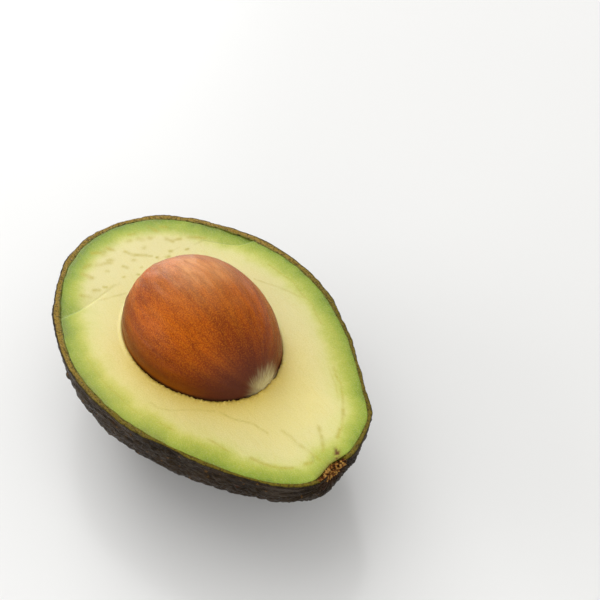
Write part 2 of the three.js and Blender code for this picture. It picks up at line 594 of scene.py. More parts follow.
def skin_outside(nodes, look, place, folds, spokes, fine_wrinkles, wrinkles):
    """The dark outside: greyish tops and painted highlights on what stands out, painted glints towards the
    blunt end, painted shade in the folds, olive flecks and specks of cork.
    """
    _, stem_radius, near_stem = nodes.split(nodes.kept("stem_place", "Vector"))
    towards_blunt = nodes.remap(nodes.split(place)[0], 14.0, -4.0)
    # Painted glints, lighter grey towards the blunt end.
    bloom_and_glints = nodes.mix(towards_blunt, look.bloom_and_highlight_color, BLUNT_GLINTS)
    # Greyish pebble tops with a painted highlight where the skin stands out.
    raised = nodes.remap(nodes.kept("relief"), -0.3, 0.5)
    crests = nodes.remap(wrinkles, 0.2, 0.9, 0.0, 0.5)
    bloom_and_highlight_share = nodes.plus(nodes.times(raised, 0.55), nodes.times(towards_blunt, crests))
    ridges = nodes.times(nodes.remap(spokes, 0.45, 0.85), near_stem)
    olive = nodes.times(nodes.mottle(place, 3.5, "Fine"), nodes.remap(fine_wrinkles, 0.45, 0.9))
    socket = nodes.times(nodes.remap(stem_radius, 6.0, 4.0), near_stem)
    base = nodes.mix(nodes.mottle(place, 9.0), look.dark_color, look.brown_color)
    return nodes.paint(base, [
        (bloom_and_highlight_share, bloom_and_glints),
        # painted highlight on the tops of the ribs near the stem
        (nodes.times(ridges, 0.7), RIB_TOP_HIGHLIGHT),
        # painted shade in the folds
        (nodes.remap(folds, 0.1, 0.5, 0.7, 0.0), FOLD_SHADE),
        (nodes.times(olive, 0.65), OLIVE_FLECKS),
        (nodes.times(nodes.specks(place, 1.6, 0.2, 0.55), 0.75), look.speck_color),
        (nodes.times(nodes.specks(place, 4.5, 0.17, 0.4), 0.8), RUST),
        (nodes.times(socket, 0.6), look.stain_color),
    ])


def skin_edge(nodes, look, place):
    """The cut edge: a brown band, more olive towards the stem, with a torn inner border whose dark specks are
    partly painted shade of the small gaps against the flesh.
    """
    band_at = nodes.kept("rim_place", "Vector")
    inwards = nodes.split(band_at)[0]
    band = nodes.ramp(inwards, [
        (0.0, EDGE_DARK), (0.13, EDGE_BROWN), (0.27, look.rim_color),
        (0.7, look.rim_color), (0.9, EDGE_YELLOW), (1.0, EDGE_GREEN),
    ])
    # Dark pricks and torn places, partly painted shade of small gaps against the flesh.
    pricks = nodes.times(nodes.specks(place, 1.1, 0.5, 0.6), 0.8)
    torn = nodes.times(nodes.remap(nodes.mottle(band_at, 5.0), 0.6, 0.95), 0.75)
    in_places = nodes.remap(nodes.mottle(place, 11.0), 0.35, 0.8, 0.1, 1.0)
    border = nodes.times(nodes.math("MAXIMUM", pricks, torn), in_places)
    return nodes.paint(band, [
        (nodes.remap(nodes.split(place)[0], -22.0, 12.0, 0.0, 0.8), look.olive_color),
        (nodes.remap(nodes.mottle(place, 3.6, "Fine"), 0.45, 0.95, 0.0, 0.75), EDGE_FLECKS),
        (nodes.remap(inwards, 0.12, 0.0), OUTER_LINE),
        (nodes.times(border, nodes.remap(inwards, 0.62, 0.95)), INNER_SPECKS_AND_GAP_SHADE),
    ])


def skin_material(look):
    nodes = Material("avocado_skin")
    place = nodes.place_mm()
    turn, stem_radius, near_stem = nodes.split(nodes.kept("stem_place", "Vector"))
    wrinkles = nodes.streaks(place, 4.0, 0.8)
    fine_wrinkles = nodes.streaks(place, 1.8, 0.35)
    spokes_at = nodes.add("CombineXYZ", {0: nodes.math("DIVIDE", stem_radius, 4.0), 1: turn})
    spokes = nodes.streaks(spokes_at.outputs[0], 1.4, 0.6)
    folds = nodes.mix(near_stem, wrinkles, spokes)
    outside = skin_outside(nodes, look, place, folds, spokes, fine_wrinkles, wrinkles)
    color = nodes.mix(nodes.kept("on_cut"), outside, skin_edge(nodes, look, place))
    gloss = nodes.remap(nodes.plus(nodes.mottle(place, 5.0, "Fine"), folds), 0.4, 1.5, 0.28, 0.5)
    height = nodes.plus(folds, nodes.times(fine_wrinkles, 0.45))
    height = nodes.plus(height, nodes.times(nodes.mottle(place, 1.4, "Fine"), 0.3))
    constants = {"Specular IOR Level": 0.17, "Specular Tint": (1, 0.8, 0.6, 1)}
    return nodes.finished(color, gloss, constants, height, 0.85)


# ---- Flesh ----

# Where the two knife cuts meet in a small ledge, on the -Y side and on the +Y side of the
# pit: places along Y, and where the ledge runs along X there.
NEAR_LEDGE = ((-26.4, -20.9, -17.5, -14.6, -9.5), (-28.6, -28.2, -28.5, -28.9, -29.9))
FAR_LEDGE = ((18.3, 20.0, 22.3, 24.5, 26.5, 30.5), (-30.5, -28.5, -26.0, -24.0, -23.3, -23.0))

# Strands of the fruit's veins that the knife laid bare: (strength, half width, points).
VEINS = (
    (0.75, 0.45, ((35.5, -13.4), (39, -11.8), (41.8, -9.5), (43.5, -7.3))),
    (0.55, 0.25, ((25, -18.2), (28, -17.2), (30.8, -16.2))),
    (0.5, 0.25, ((13.3, -25), (16, -24), (18, -23))),
    (0.35, 0.22, ((-13, -27.8), (-5, -28.4), (4, -27.8), (10, -26.6))),
    (0.4, 0.38, ((33, -2.7), (38, -2.1), (43, -1), (46.3, -0.4))),
    (0.55, 0.55, ((37, 5), (41, 3.3), (43.4, 1.6))),
    (0.8, 0.5, ((40.6, 8.6), (42.2, 6.6))),
    (0.5, 0.35, ((24, 19), (30, 17), (35, 14.2), (38, 11.8), (41, 8.8))),
    (0.75, 0.45, ((36.6, 13.1), (37.8, 12.2))),
    (0.8, 0.45, ((44.2, -4.4), (44.8, -2.9))),
    (0.3, 0.2, ((23, 18.2), (28.5, 16.2), (33.5, 13.8))),
    (0.35, 0.25, ((-12, 21), (-7, 23.2), (-3, 25.5), (2, 27.7))),
    (0.4, 0.2, ((-14, 26.6), (-5, 28.0), (4, 27.3), (11, 25.3))),
    (0.45, 0.25, ((19.5, -11.2), (24, -9.2), (28, -6.7), (32, -5.8))),
    (0.3, 0.25, ((7.5, -22.8), (10, -22.4), (13, -19), (16, -15.3), (18.5, -12))),
    (0.4, 0.25, ((-30.6, -8.5), (-30.2, -11), (-29.2, -15))),
    (0.4, 0.25, ((-26.3, -8.3), (-27.7, -12), (-28.4, -15.5))),
    (0.25, 0.2, ((-32.4, 12), (-31.8, 8.5), (-31.6, 5))),
    (0.85, 0.5, ((45.6, 4.4), (46.6, 3.3))),
)

# Brown crumbs beside the stem's stub, in the same way.
STEM_SPOTS = (
    (1.3, 0.6, ((45.2, 4.3), (47.2, 2.9))),
    (0.7, 0.3, ((43.6, -1.6), (44.6, -2.2))),
)

# The part of the blunt end where vein dots lie: its reach along X and Y, and the half length
# and half width of an oval round the pit that they keep out of.
DOTS_X = (-44, -30)
DOTS_Y = (-18, 16)
DOTS_OVAL = (27, 23)

# Where the flesh is warm beside the pit, as a turn back from the stem end, and the pale
# smear at the pit's tip and the end of the stub.
WARM_TURN = math.radians(42)
SMEAR = np.array([PIT_HIGH[0] + 1.5, 3.0])
STUB_END = np.array([STUB_HIGH[0], 0.0])

# Rings over the cut face, down the outer wall and down the hollow.
FACE_RINGS = 86
WALL_RINGS = 12
CUP_RINGS = 20

# Colours from the green edge to the paler middle, as (depth in mm, colour), and the marks.
DEEPEST = 16.0
EDGE_TO_MIDDLE = (
    (0.48, (0.205, 0.31, 0.014)), (1.2, (0.265, 0.37, 0.024)), (2.08, (0.335, 0.43, 0.038)),
    (3.04, (0.42, 0.49, 0.055)), (4.16, (0.52, 0.565, 0.09)), (5.28, (0.64, 0.65, 0.165)),
)
MIDDLE_TO_PIT = ((9.6, (0.82, 0.755, 0.33)), (14.4, (0.865, 0.775, 0.325)))
STRANDS = (0.7, 0.53, 0.1)
# Painted shade along the knife's ledge, with the deeper green flesh that the step bares: darker over the pale
# middle and over the green band.
PALE_LEDGE_SHADE = (0.56, 0.48, 0.13)
GREEN_LEDGE_SHADE = (0.19, 0.27, 0.012)
FIBRE_SHADE = (0.2, 0.28, 0.03)
PALE_GRAIN = (0.95, 0.9, 0.6)
DARK_GRAIN = (0.3, 0.33, 0.04)
# Brown stain by the cork and crumbs, also used as painted shade in the pit's gap and the hollow under it.
STAIN_AND_GAP_SHADE = (0.14, 0.05, 0.005)


def vein_dots(look):
    """Cut ends of veins, scattered through the blunt end as short strokes."""
    random = np.random.default_rng(7)
    strokes = []
    while len(strokes) < look.dot_count:
        at = np.array([random.uniform(*DOTS_X), random.uniform(*DOTS_Y)])
        from_pit = np.hypot(*((at - PIT_MIDDLE[:2]) / np.array(DOTS_OVAL)))
        spaced = all(np.hypot(*(at - stroke[2][0])) > 2.1 for stroke in strokes)
        if from_pit > 1 and spaced and pear_radius(at[0]) - abs(at[1]) > 5:
            by_rim = soft_step(1.12, 1.3, from_pit)
            reach = random.uniform(0.2, 1 + 2.5 * by_rim)
            reach = reach * np.array([random.uniform(0, 1), random.uniform(0.3, 1)])
            strength = random.uniform(0.75, 1.2) * (1 - 0.35 * by_rim)
            half_width = random.uniform(0.28, 0.4) * (1 + 0.8 * by_rim)
            strokes.append((strength, half_width, (at, at + reach + 0.05)))
    return strokes


def face_height(plan, look):
    """The height of the cut face over the level of the cut, and the painted shade along the knife's ledge."""
    height = np.zeros(plan.shape[:-1])
    edge = np.zeros(plan.shape[:-1])
    for ledge, strength in ((NEAR_LEDGE, soft_step(-7, -24, plan[..., 1])),
                            (FAR_LEDGE, soft_step(15, 27, plan[..., 1]))):
        past = np.interp(plan[..., 1], *ledge) - plan[..., 0]
        beyond = np.maximum(past, 0)
        height -= look.ledge_height / MM * strength * soft_step(-0.25, 0.3, past) * np.exp(-beyond / 9)
        # A thin band of painted shade at the foot of the step, and painted shade fading beside it.
        shade_line = np.exp(-((past - 0.25) / 0.3) ** 2)
        shade = 0.45 * soft_step(-0.2, 0.3, past) * np.exp(-beyond / 2.5)
        edge = np.maximum(edge, np.maximum(strength ** 0.3 * shade_line, strength * shade))
    flat = levelled(plan)
    height += 0.12 * lumps(flat, (16, 12, 12), octaves=2, seed=2.2)
    height += 0.02 * lumps(flat, (3.0, 0.8, 1), octaves=2, seed=6.1)
    return height, edge


def pit_outline(plan, grow):
    """The pit's outline at the cut in the direction of each plan point, grown by a gap, and
    that direction."""
    away = plan - PIT_MIDDLE[:2]
    turn = np.arctan2(away[..., 1] / PIT_HALF[1], away[..., 0] / PIT_HALF[0])
    across = (PIT_HALF[1] + grow) * np.sin(turn) * (1 - PIT_TAPER * np.cos(turn))
    return PIT_MIDDLE[:2] + np.stack([(PIT_HALF[0] + grow) * np.cos(turn), across], -1), turn


def face_marks_and_shade(look, plan, from_rim, from_pit, by_tip, lip):
    """What colours each point of the cut face: veins, warmth, cream, brown stain with painted shade at the
    pit's gap, and greenness.
    """
    flat = levelled(plan)
    x, y = plan[..., 0], plan[..., 1]
    wander = [lumps(flat, 5.0, octaves=2, seed=seed) for seed in (1.2, 9.8)]
    wandered = plan + 0.4 * np.stack(wander, -1)
    veins = near_strokes(wandered, VEINS + tuple(vein_dots(look)))
    veins *= np.clip(0.75 + 0.6 * lumps(flat, 1.6, octaves=2, seed=3.9), 0.2, 1)
    away = plan - PIT_MIDDLE[:2]
    facing = soft_step(-0.5, 0.9, np.cos(np.arctan2(away[..., 1], away[..., 0]) + WARM_TURN))
    warm = facing * np.exp(-from_pit / 6.0)
    warm += 0.12 * soft_step(0, 25, x) * np.exp(-from_pit / 14)
    cream = soft_step(-22, -36, x) + 0.5 * soft_step(6, 24, y) * soft_step(16, 2, from_pit)
    smear = np.exp(-(np.linalg.norm(plan - SMEAR, axis=-1) / 2.2) ** 2)
    cream = np.clip(cream, 0, 1) * soft_step(3.0, 8.0, from_rim)
    cream = np.maximum(cream, np.maximum(0.35 * lip, smear))
    by_cork = soft_step(STUB_HALF_WIDTH + 1.5, STUB_HALF_WIDTH - 0.5, np.abs(y)) * (x > 40)
    crumbled = near_strokes(wandered, STEM_SPOTS) * soft_step(-0.5, 0.3, lumps(flat, 0.8, seed=2.6))
    # Painted shade at the pit's gap on its tip side, and real brown stain by the cork.
    stain = np.maximum(np.exp(-from_pit / 0.35) * by_tip, 0.75 * by_cork * np.exp(-from_rim / 0.6))
    stain = np.maximum(stain, crumbled)
    by_stub = 3.5 * np.exp(-np.linalg.norm(plan - STUB_END, axis=-1) / 5)
    greenness = from_rim * (1 - 0.1 * soft_step(-18, -38, x)) + by_stub
    return veins, warm, cream, stain, greenness


def build_flesh(look, thickness):
    """The flesh: out of its hollow, over the cut face and down against the skin."""
    snug = thickness + look.skin_gap / MM
    wall = press_dimple(np.array([bowl_ring(share, snug) for share in bowl_shares(WALL_RINGS)]))
    edge = wall[0, :, :2]
    _, turn = pit_outline(edge, 0.0)
    by_tip = facing_tip(turn)
    gap = look.pit_gap / MM * (0.05 + 0.95 * by_tip)
    gap *= 1 + 0.8 * lumps(np.column_stack([edge, 0 * turn]), 2.0, seed=7.7)
    hollow, _ = pit_outline(edge, gap)
    shares = (1 - np.cos(np.linspace(0, np.pi, FACE_RINGS))) / 2
    plan = edge + (hollow - edge) * shares[:, None, None]
    # ledge says how much painted shade lies along the knife's ledge.
    height, ledge = face_height(plan, look)

    along_edge = np.roll(edge, -1, 0) - np.roll(edge, 1, 0)
    inward = np.column_stack([-along_edge[:, 1], along_edge[:, 0]])
    inward /= np.linalg.norm(inward, axis=1, keepdims=True)
    from_rim = np.abs(np.einsum("rpk,pk->rp", plan - edge, inward))
    from_pit = np.linalg.norm(plan - hollow, axis=-1)
    height -= 0.04 * np.clip(1 - np.linalg.norm(plan - edge, axis=-1) / 0.4, 0, 1) ** 2
    height -= 0.12 * np.clip(1 - from_pit / 0.35, 0, 1) ** 2
    lip = (1 - by_tip) * np.exp(-((from_pit - 0.45) / 0.45) ** 2)
    crumbs = np.maximum(lumps(levelled(plan), 0.7, seed=5.5), 0)
    crumbs = by_tip * soft_step(1.5, 0.4, from_pit) * crumbs
    height += 0.22 * lip + 0.5 * crumbs
    face = np.concatenate([plan, CUT_Z + height[..., None]], -1)

    cup = []
    depth = PIT_HALF[2] + 0.35
    for share in np.cos(np.linspace(0, np.pi / 2, CUP_RINGS + 2)[1:-1]):
        ring = PIT_MIDDLE[:2] + (hollow - PIT_MIDDLE[:2]) * share
        level = np.full(POINTS_AROUND, CUT_Z - depth * math.sqrt(1 - share * share))
        cup.append(np.column_stack([ring, level]))
    wall[0, :, 2] = CUT_Z - 0.3
    rings = np.concatenate([np.array(cup)[::-1], face[::-1], wall])

    def carried(values, in_cup, on_wall):
        """Values of the face, carried on into the hollow and down the wall."""
        into = np.broadcast_to(in_cup, (len(cup), POINTS_AROUND))
        down = np.broadcast_to(on_wall, (len(wall), POINTS_AROUND))
        return np.concatenate([into, values[::-1], down])

    veins, warm, cream, stain, greenness = face_marks_and_shade(look, plan, from_rim, from_pit, by_tip, lip)
    # The hollow under the pit takes the stain colour as painted shade.
    marks = [carried(veins, 0.0, 0.0), carried(ledge, 0.0, 0.0), carried(stain, 0.6, 0.0)]
    values = {
        "face_place": around_place(carried(greenness, from_rim[-1], from_rim[0])),
        "face_marks_and_shade": np.stack(marks, -1),
        "warm": carried(warm, 0.7, 0.0),
        "cream": carried(cream, 0.0, 0.0),
    }
    return ring_mesh("flesh_half", rings, values)


def flesh_material(look):
    nodes = Material("avocado_flesh")
    place = nodes.place_mm()
    face = nodes.kept("face_place", "Vector")
    from_rim = nodes.split(face)[0]
    vein, ledge, stain = nodes.split(nodes.kept("face_marks_and_shade", "Vector"))
    in_band = nodes.remap(from_rim, 7.0, 3.0, 0.12, 1.0)
    fibres = nodes.between(in_band, 0.5, nodes.streaks(face, 1.3, 0.4, 0.8))
    clouds = nodes.mottle(place, 7.0)
    grain = nodes.mottle(place, 2.2, "Fine")
    strands = nodes.streaks(place, 16.0, 2.6, 1.2, "Lines")

    depth = nodes.plus(from_rim, nodes.times(nodes.math("SUBTRACT", fibres, 0.5), 0.45))
    depth = nodes.plus(depth, nodes.times(nodes.math("SUBTRACT", clouds, 0.5), 1.5))
    stops = ((0.0, look.edge_color), *EDGE_TO_MIDDLE, (6.72, look.middle_color), *MIDDLE_TO_PIT)
    stops = [(at / DEEPEST, color) for at, color in stops]
    color = nodes.paint(nodes.ramp(nodes.math("DIVIDE", depth, DEEPEST), stops), [
        (nodes.times(nodes.kept("cream"), 0.85), look.cream_color),
        (nodes.times(nodes.kept("warm"), 0.9), look.warm_color),
        (nodes.times(strands, 0.1), STRANDS),
        (nodes.times(vein, 0.95, clamp=True), look.vein_color),
        # painted shade along the knife's ledge
        (nodes.times(ledge, 0.9), nodes.mix(in_band, PALE_LEDGE_SHADE, GREEN_LEDGE_SHADE)),
        (nodes.remap(fibres, 0.5, 0.0, 0.0, 0.07), FIBRE_SHADE),
        (nodes.remap(grain, 0.5, 1.0, 0.0, 0.14), PALE_GRAIN),
        (nodes.remap(grain, 0.5, 0.0, 0.0, 0.1), DARK_GRAIN),
        # brown stain by the cork, and painted shade at the pit's gap and in the hollow
        (nodes.times(stain, 0.88), STAIN_AND_GAP_SHADE),
    ])
    gloss = nodes.remap(nodes.plus(clouds, grain), 0.3, 1.7, 0.34, 0.5)
    height = nodes.plus(nodes.times(fibres, 0.4), nodes.times(grain, 0.5))
    height = nodes.math("SUBTRACT", height, nodes.times(vein, 0.35))
    constants = {
        "Subsurface Weight": 0.2,
        "Subsurface Radius": (1.0, 0.8, 0.25),
        "Subsurface Scale": 1.2 * MM,
        "Specular IOR Level": 0.22,
    }
    return nodes.finished(color, gloss, constants, height, 0.09, 0.7)


# ---- Pit ----

PIT_RINGS = 150
PIT_POINTS_AROUND = 300

# The tuft of pale flesh left on the tip, and the pale patch on the top: paler, scuffed skin with a painted
# highlight.
TUFT_MIDDLE = np.array([PIT_HIGH[0], PIT_MIDDLE[1] + 3.2, CUT_Z])
TUFT_REACH = 10.5
PALE_HIGHLIGHT_MIDDLE = PIT_MIDDLE + PIT_HALF * np.array([-0.26, 0.2, 0.9])
PALE_HIGHLIGHT_SIZE = np.array([10, 9, 9])

ORANGE_GROOVES = (0.56, 0.15, 0.002)
DARK_PIT_GRAIN = (0.19, 0.024, 0.0)
PALE_PIT_GRAIN = (0.68, 0.2, 0.006)
# Painted shade where the pit meets the flesh, on the side of the widest gap.
CONTACT_SHADE = (0.05, 0.02, 0.008)


def build_pit(look):
    """The pit: rings from its blunt end to its tip, which points to the stem."""
    stations = np.linspace(0, np.pi, PIT_RINGS + 2)[1:-1]
    turns = np.linspace(0, 2 * np.pi, PIT_POINTS_AROUND, endpoint=False)
    x = PIT_MIDDLE[0] - PIT_HALF[0] * np.cos(stations)
    radius = PIT_HALF[1] * np.sin(stations) * (1 + PIT_TAPER * np.cos(stations))
    across = radius[:, None, None] * np.stack([np.cos(turns), np.sin(turns)], -1)
    along = x[:, None, None] + 0 * across[..., :1]
    smooth = np.concatenate([along, PIT_MIDDLE[1:] + across], -1)
    outward = (smooth - PIT_MIDDLE) / PIT_HALF ** 2
    outward /= np.linalg.norm(outward, axis=-1, keepdims=True)
    relief = 0.16 * lumps(smooth, (12, 7, 7), octaves=2, seed=1.3)
    relief += look.groove_depth / MM * lumps(smooth, (16, 1.8, 1.8), octaves=2, seed=4.6)
    off_axis = smooth - PIT_MIDDLE
    tip_radius = np.hypot(off_axis[..., 1], off_axis[..., 2])
    at_tip = soft_step(PIT_MIDDLE[0], PIT_MIDDLE[0] + PIT_HALF[0] / 2, smooth[..., 0])
    away = smooth - TUFT_MIDDLE
    tuft_radius = np.linalg.norm(away, axis=-1)
    strand = np.arctan2(away[..., 1], away[..., 2] + 1.5) * 6.5
    brush = lumps(np.stack([strand, tuft_radius / 8, 0 * strand], -1), 1.0, octaves=2)
    tuft = at_tip * soft_step(TUFT_REACH, 0.0, tuft_radius + 0.8 * brush) ** 1.7
    shaded = facing_tip(np.arctan2(off_axis[..., 1], off_axis[..., 0]))
    relief += tuft * (0.15 + 0.25 * lumps(smooth, 0.7, seed=3.3))
    rings = smooth + relief[..., None] * outward
    above = smooth[..., 2] - CUT_Z
    # A painted highlight on the top, over paler scuffed skin.
    pale = np.exp(-(np.linalg.norm((smooth - PALE_HIGHLIGHT_MIDDLE) / PALE_HIGHLIGHT_SIZE, axis=-1)) ** 2)
    pale *= 0.8 + 0.4 * lumps(smooth, (6, 3.2, 3.2), octaves=3, seed=8.2)
    round_axis = np.broadcast_to(turns * 12, above.shape)
    values = {
        "pit_place": np.stack([smooth[..., 0], round_axis, 0 * above], -1),
        # Painted shade just above the cut, on the side of the widest gap.
        "contact_shade": soft_step(0.9, 0.1, above) * shaded,
        "pale": 0.62 * pale,
        "pit_marks": np.stack([tuft, at_tip * soft_step(17, 5, tip_radius), above], -1),
    }
    return ring_mesh("pit_seed", rings, values)


def pit_material(look):
    nodes = Material("avocado_pit")
    place = nodes.place_mm()
    side = nodes.split(place)[1]
    tuft, bruise, above = nodes.split(nodes.kept("pit_marks", "Vector"))
    at = nodes.kept("pit_place", "Vector")
    grain = nodes.mottle(place, 2.1, "Fine")
    bands = nodes.streaks(at, 34.0, 9.0, 0.4)
    veins = nodes.streaks(at, 26.0, 4.5, 0.3, "Lines")
    grooves = nodes.streaks(at, 20.0, 2.2, 0.3)
    hairs = nodes.streaks(at, 7.0, 0.5, 0.4)
    scuffs = nodes.streaks(at, 9.0, 2.0, 1.0)

    base = nodes.mix(nodes.remap(bands, 0.05, 0.8), look.deep_color, look.bright_color)
    scuffed = nodes.remap(hairs, 0.2, 0.8, 0.84, 1.1)
    # Painted shade: darker low on the pit, most on the -Y side.
    low = nodes.times(nodes.remap(above, 12.0, 0.5, 0.0, 0.9), nodes.remap(side, 10.0, -8.0, 0.12, 1.0))
    low_edge = nodes.times(nodes.remap(above, 4.5, 1.0), nodes.remap(side, -9.0, -16.0))
    strands = nodes.remap(nodes.plus(tuft, nodes.times(hairs, 0.28)), 0.12, 1.15)
    color = nodes.paint(base, [
        (nodes.remap(grooves, 0.5, 1.0, 0.0, 0.25), ORANGE_GROOVES),
        (nodes.remap(grooves, 0.5, 0.0, 0.0, 0.34), look.vein_color),
        (nodes.times(veins, 0.3), look.vein_color),
        (nodes.remap(grain, 0.45, 0.9, 0.0, 0.55), DARK_PIT_GRAIN),
        (nodes.remap(grain, 0.5, 0.1, 0.0, 0.48), PALE_PIT_GRAIN),
        # painted highlight on the top, over paler scuffed skin
        (nodes.times(nodes.kept("pale"), scuffed), look.pale_highlight_color),
        # painted shade low on the pit
        (low, look.low_color),
        (nodes.times(low_edge, 0.55), look.amber_color),
        (nodes.times(bruise, 0.8), look.bruise_color),
        # painted shade where the pit meets the flesh
        (nodes.times(nodes.kept("contact_shade"), 0.8), CONTACT_SHADE),
        (nodes.times(strands, nodes.remap(tuft, 0.0, 0.3)), look.tuft_color),
    ])
    gloss = nodes.remap(nodes.plus(scuffs, grain), 0.3, 1.7, 0.3, 0.44)
    height = nodes.plus(nodes.times(grain, 0.4), nodes.times(grooves, 0.5))
    height = nodes.plus(height, nodes.times(hairs, 0.2))
    constants = {"Specular IOR Level": 0.15, "Specular Tint": (1, 0.82, 0.64, 1)}
    return nodes.finished(color, gloss, constants, height, 0.08, 0.6)


# ---- Stem stub ----

CORK_TOP = CUT_Z - 0.3
# Painted shade in the deepest torn pits, and pale golden cork that is partly a painted highlight on what
# stands out.
CORK_PIT_SHADE = (0.02, 0.008, 0.003)
CORK_PALEST = (0.62, 0.35, 0.085)
RED_GRAIN = (0.26, 0.08, 0.018)
PALE_FIBRES = (0.56, 0.28, 0.05)
DARK_FIBRES = (0.05, 0.016, 0.005)
# Painted shade of small dark pocks in the cork.
CORK_HOLE_SHADE = (0.012, 0.006, 0.004)


def build_stem_stub(look):
    """The cork plug: half-round rings from its inner end out, torn into pits and fibres."""
    top = np.linspace(1, -1, 90, endpoint=False)
    under = np.linspace(0, np.pi, 130, endpoint=False)
    under = np.column_stack([-np.cos(under), -np.sin(under)])
    section = np.concatenate([np.column_stack([top, 0 * top]), under])
    section = section * (STUB_HALF_WIDTH + 0.4) * np.array([1, 0.5])
    shares = np.concatenate([np.linspace(0.05, 1, 12), np.ones(40), np.linspace(1, 0.05, 26)])
    x = np.concatenate([np.zeros(12), np.linspace(0, 1, 40), np.ones(26)])
    x = STUB_LOW[0] + 0.5 + (STUB_HIGH[0] - STUB_LOW[0] - 0.2) * x
    middle = np.array([0.0, -STUB_HALF_WIDTH / 3])
    plane = middle + (section - middle) * shares[:, None, None]
    along = x[:, None, None] - 0.15 * plane[..., :1]
    rings = np.concatenate([along, plane + np.array([0.0, CORK_TOP])], -1)
    torn = lumps(rings, (1.5, 0.6, 0.6), octaves=4, seed=2.9)
    torn = torn - 0.7 * (1 - cells(rings, (1.3, 0.9, 0.9), seed=1.1))
    relief = look.roughness_height / MM * torn
    outward = rings - rings.reshape(-1, 3).mean(0)
    outward /= np.linalg.norm(outward, axis=-1, keepdims=True)
    top_face = soft_step(-0.3, 0.1, rings[..., 2] - CORK_TOP)
    outward = outward * (1 - top_face[..., None]) + np.array([0, 0, 1.0]) * top_face[..., None]
    return ring_mesh("stem_cork", rings + relief[..., None] * outward, {"relief": torn})


def stub_material(look):
    nodes = Material("avocado_stem_cork")
    place = nodes.place_mm()
    grain = nodes.mottle(place, 1.0)
    fibres = nodes.streaks(place, 2.0, 0.3)
    # Painted shade of small pocks, with no hollow modelled.
    hole_shade = nodes.specks(place, 0.9, 0.3, 0.4)
    # Colour by relief: painted shade low in the torn pits, the cork's own browns, and paler cork that is
    # partly a painted highlight on what stands out.
    base = nodes.ramp(nodes.remap(nodes.kept("relief"), -1.3, 0.4), [
        (0.0, CORK_PIT_SHADE), (0.32, look.dark_color), (0.6, look.cork_color), (0.95, CORK_PALEST),
    ])
    color = nodes.paint(base, [
        (nodes.times(grain, 0.35), RED_GRAIN),
        (nodes.remap(fibres, 0.5, 1.0, 0.0, 0.4), PALE_FIBRES),
        (nodes.remap(fibres, 0.45, 0.0, 0.0, 0.6), DARK_FIBRES),
        # painted shade of small pocks
        (nodes.times(hole_shade, 0.8), CORK_HOLE_SHADE),
    ])
    gloss = nodes.remap(grain, 0.0, 1.0, 0.6, 0.85)
    height = nodes.plus(fibres, nodes.times(grain, 0.6))
    return nodes.finished(color, gloss, {"Specular IOR Level": 0.12}, height, 0.2, 0.9)


# ---- Table, light and camera ----

TABLE_CLOUDS = (0.8, 0.8, 0.8)


def build_table(look):
    """A wide, pale, glossy table top."""
    reach = look.table_reach
    mesh = bpy.data.meshes.new("table_top")
    corners = [(-reach, -reach, 0), (reach, -reach, 0), (reach, reach, 0), (-reach, reach, 0)]
    mesh.from_pydata(corners, [], [(0, 1, 2, 3)])
    nodes = Material("pale_gloss")
    clouds = nodes.mottle(nodes.place_mm(), 260.0)
    tone = nodes.mix(nodes.times(clouds, 0.15), look.table_color, TABLE_CLOUDS)
    mesh.materials.append(nodes.finished(tone, nodes.remap(clouds, 0.0, 1.0, 0.16, 0.22), {"IOR": 1.6}))
    add_object("table_top", mesh)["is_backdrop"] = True


def view_axes(look):
    """The camera's level right and forward directions, and the point it looks at."""
    right = Vector((math.cos(look.azimuth), math.sin(look.azimuth), 0))
    forward = Vector((-math.sin(look.azimuth), math.cos(look.azimuth), 0))
    aim = Vector((0, 0, CUT_Z * MM)) + right * look.aim_right + forward * look.aim_forward
    return right, forward, aim


def turn_to(holder, target):
    """Turns an object's -Z axis to a point, with its Y axis up."""
    holder.rotation_euler = (target - holder.location).to_track_quat("-Z", "Y").to_euler()


def add_lamp(look, name, power, size, right_by, forward_by, up_by):
    """A square soft lamp that faces the fruit, placed by the camera's own directions."""
    right, forward, _ = view_axes(look)
    lamp = bpy.data.lights.new(name, "AREA")
    lamp.energy = power
    lamp.size = size
    holder = add_object(name, lamp)
    holder.location = right * right_by + forward * forward_by + Vector((0, 0, up_by))
    turn_to(holder, Vector())


def build_stage(look):
    """The table, the soft lamps, the pale surroundings and the camera."""
    build_table(look)
    add_lamp(look, "window", look.key_power, 1.2, -0.3, 0.4, 1.1)
    add_lamp(look, "back_window", look.back_power, 0.6, -0.38, 1.1, 0.42)
    add_lamp(look, "side_fill", look.fill_power, 0.6, -0.9, -0.05, 0.24)
    add_lamp(look, "front_fill", look.front_power, 0.8, 0.1, -0.8, 0.35)
    world = bpy.data.worlds.new("pale_room")
    world.use_nodes = True
    background = next(node for node in world.node_tree.nodes if node.type == "BACKGROUND")
    background.inputs["Color"].default_value = (*look.room_color, 1)
    background.inputs["Strength"].default_value = look.room_strength
    bpy.context.scene.world = world

    _, forward, aim = view_axes(look)
    camera = bpy.data.cameras.new("camera")
    camera.lens = look.lens
    camera.clip_start = 0.01
    holder = add_object("camera", camera)
    level = -forward * math.cos(look.elevation)
    holder.location = aim + (level + Vector((0, 0, math.sin(look.elevation)))) * look.distance
    turn_to(holder, aim)
    bpy.context.scene.camera = holder
    bpy.context.scene.view_settings.view_transform = "Standard"


# ---- What a user can change ----


def number(name, description, default, **how):
    """A number that the panel shows."""
    return FloatProperty(name=name, description=description, default=default, **how)


def size(name, description, default):
    """A length in metres that the panel shows."""
    return number(name, description, default, min=0, precision=5, unit="LENGTH")


def power(name, description, default):
    """A lamp's power in watts that the panel shows."""
    return number(name, description, default, min=0, unit="POWER")


def tint(name, description, default):
    """A colour that the panel shows."""
    how = {"size": 3, "min": 0, "max": 1, "subtype": "COLOR"}
    return FloatVectorProperty(name=name, description=description, default=default, **how)


